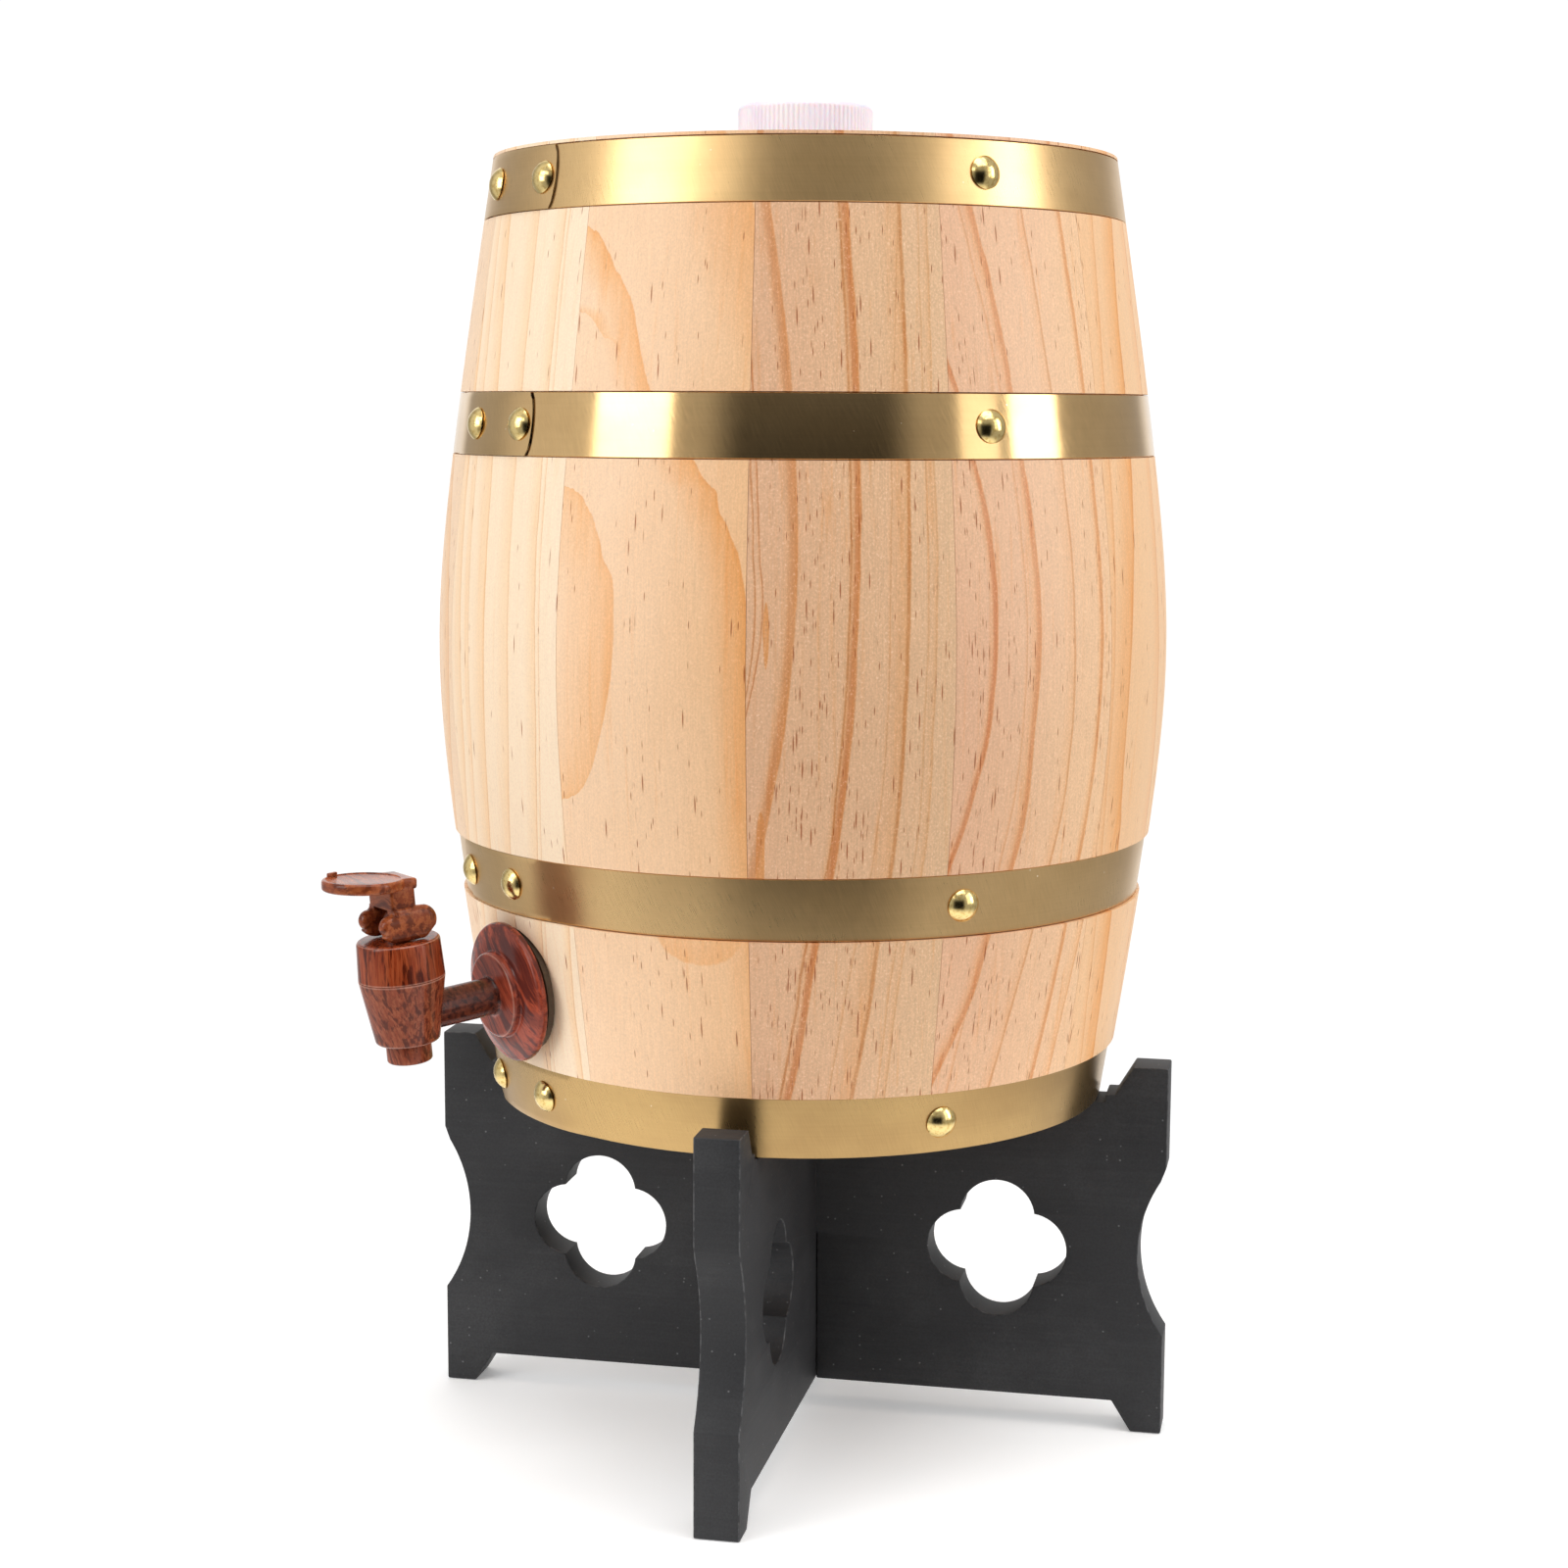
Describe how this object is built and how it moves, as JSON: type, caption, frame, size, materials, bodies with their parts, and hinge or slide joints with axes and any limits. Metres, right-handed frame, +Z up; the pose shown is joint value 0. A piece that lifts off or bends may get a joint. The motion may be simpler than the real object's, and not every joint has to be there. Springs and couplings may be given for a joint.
{
  "type": "barrel on stand with tap",
  "caption": "Upright wooden barrel with metal hoops, a lever tap near its foot and a screw cap on top, resting on a stand of two crossed boards.",
  "frame": {"origin": "centre of the whole object's footprint, on the surface that the stand's feet rest on", "axes": "+Z up along the barrel's axis; the tap points along -Y; +X to the right as the tap is faced from behind the barrel's far side, that is to the viewer's right when looking along +Y"},
  "size_m": [0.2496, 0.3076, 0.4549],
  "materials": {
    "pine": "clear satin finish on pale softwood",
    "brushed_brass": "satin, brushed along the strap",
    "polished_brass": "polished domed heads",
    "black_paint": "matt black paint, worn a little at the edges",
    "rosewood_plastic": "glossy dark red wood print",
    "lever_plastic": "glossy lighter red wood print",
    "stem_plastic": "plain moulded plastic",
    "white_plastic": "slightly translucent white polyethylene",
    "tank_plastic": "thin blow-moulded polyethylene",
    "silicone": "soft pale silicone",
    "rubber": "black sealing rubber",
    "steel": "bright drawn wire"
  },
  "bodies": {
    "stand": {"stand_board_lower": "black_paint", "stand_board_upper": "black_paint"},
    "barrel": {"stave_01": "pine", "stave_02": "pine", "stave_03": "pine", "stave_04": "pine", "stave_05": "pine", "stave_06": "pine", "stave_07": "pine", "stave_08": "pine", "stave_09": "pine", "stave_10": "pine", "stave_11": "pine", "stave_12": "pine", "top_head_board_1": "pine", "top_head_board_2": "pine", "top_head_board_3": "pine", "bottom_head_board_1": "pine", "bottom_head_board_2": "pine", "bottom_head_board_3": "pine", "hoop_1": "brushed_brass", "hoop_2": "brushed_brass", "hoop_3": "brushed_brass", "hoop_4": "brushed_brass", "hoop_1_rivet_1": "polished_brass", "hoop_1_rivet_2": "polished_brass", "hoop_1_nail_1": "polished_brass", "hoop_1_nail_2": "polished_brass", "hoop_1_nail_3": "polished_brass", "hoop_2_rivet_1": "polished_brass", "hoop_2_rivet_2": "polished_brass", "hoop_2_nail_1": "polished_brass", "hoop_2_nail_2": "polished_brass", "hoop_2_nail_3": "polished_brass", "hoop_3_rivet_1": "polished_brass", "hoop_3_rivet_2": "polished_brass", "hoop_3_nail_1": "polished_brass", "hoop_3_nail_2": "polished_brass", "hoop_3_nail_3": "polished_brass", "hoop_4_rivet_1": "polished_brass", "hoop_4_rivet_2": "polished_brass", "hoop_4_nail_1": "polished_brass", "hoop_4_nail_2": "polished_brass", "hoop_4_nail_3": "polished_brass", "liner_tank": "tank_plastic", "filler_neck": "white_plastic", "tap_body": "rosewood_plastic", "tap_bonnet": "rosewood_plastic", "outer_gasket": "rubber", "inner_gasket": "rubber", "back_nut": "lever_plastic", "valve_spring": "steel"},
    "stem": {"valve_stem": "stem_plastic", "valve_seal": "silicone"},
    "lever": {"tap_lever": "lever_plastic", "lever_pin": "steel"},
    "cap_seal": {"cap_gasket": "silicone"},
    "cap": {"screw_cap": "white_plastic"}
  },
  "joints": [
    {"name": "barrel_lift", "type": "slide", "parent": "stand", "child": "barrel", "axis": [0, 0, 1], "range_m": [0, 0.15]},
    {"name": "stem_lift", "type": "slide", "parent": "barrel", "child": "stem", "axis": [0, -0.0932, 0.9956], "range_m": [0, 0.0025], "deforming": ["valve_spring"]},
    {"name": "lever_press", "type": "hinge", "parent": "stem", "child": "lever", "pos_m": [0, -0.12951, 0.19117], "axis": [1, 0, 0], "range_deg": [0, 40], "stiffness_Nm_per_rad": 0.12, "springref_deg": -28.65},
    {"name": "cap_rise", "type": "slide", "parent": "barrel", "child": "cap_seal", "axis": [0, 0, 1], "range_m": [0, 0.008]},
    {"name": "cap_turn", "type": "hinge", "parent": "cap_seal", "child": "cap", "pos_m": [0, 0.02892, 0.4427], "axis": [0, 0, 1], "range_deg": [0, 720]}
  ],
  "couplings": [
    {"joint": "stem_lift", "follows": "lever_press", "m_per_rad": 0.00358},
    {"joint": "cap_rise", "follows": "cap_turn", "m_per_rad": 0.00063662}
  ]
}
